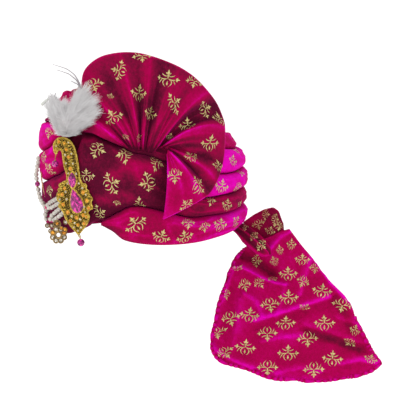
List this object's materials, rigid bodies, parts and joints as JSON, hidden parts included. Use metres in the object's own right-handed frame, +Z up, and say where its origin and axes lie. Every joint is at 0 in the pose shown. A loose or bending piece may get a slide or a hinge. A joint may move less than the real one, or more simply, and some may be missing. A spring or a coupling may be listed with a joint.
{
  "type": "tied turban",
  "caption": "Ready-tied wedding turban: wound velvet turns with gold print, a pleated side fan, a short flared tail, and a plumed brooch with pearl strings.",
  "frame": {"origin": "centre of the head opening, level with the rim, where the turban sits on the head", "axes": "+Z up, -Y the wearer's front, +X the wearer's left"},
  "size_m": [0.2723, 0.4403, 0.4277],
  "materials": {
    "velvet_magenta": "velvet pile with gold foil print",
    "gilt_metal": "gilt, antiqued",
    "pink_glass": "faceted, foil-backed",
    "amber_glass": "faceted, foil-backed",
    "pearl": "pearl lustre",
    "white_marabou": "fluffy down",
    "quill_horn": "satin"
  },
  "bodies": {
    "root": {"brooch_plate": "gilt_metal", "coil_1": "velvet_magenta", "coil_2": "velvet_magenta", "coil_3": "velvet_magenta", "coil_4": "velvet_magenta", "coil_5": "velvet_magenta", "crown_base": "velvet_magenta", "crown_cover": "velvet_magenta", "drop_bead": "pink_glass", "drop_link": "gilt_metal", "hook_bead": "pink_glass", "marquise_stone": "pink_glass", "pearl_row_lower": "pearl", "pearl_row_upper": "pearl", "pearl_string_lower": "pearl", "pearl_string_outer": "pearl", "plume": "white_marabou", "quill": "quill_horn", "side_band": "velvet_magenta", "side_fan": "velvet_magenta", "small_stone_01": "amber_glass", "small_stone_02": "amber_glass", "small_stone_03": "amber_glass", "small_stone_04": "amber_glass", "small_stone_05": "amber_glass", "small_stone_06": "amber_glass", "small_stone_07": "amber_glass", "small_stone_08": "amber_glass", "small_stone_09": "amber_glass", "small_stone_10": "amber_glass", "small_stone_11": "amber_glass", "small_stone_12": "amber_glass", "small_stone_13": "amber_glass", "small_stone_14": "amber_glass", "small_stone_15": "amber_glass", "small_stone_16": "amber_glass", "small_stone_17": "amber_glass", "small_stone_18": "amber_glass", "small_stone_19": "amber_glass", "spacer_bead": "pink_glass", "stone_disc": "gilt_metal", "stone_ring": "gilt_metal", "tail_ear": "velvet_magenta", "tail_neck": "velvet_magenta", "tail_skirt": "velvet_magenta", "teardrop_stone": "pink_glass"}
  },
  "joints": []
}
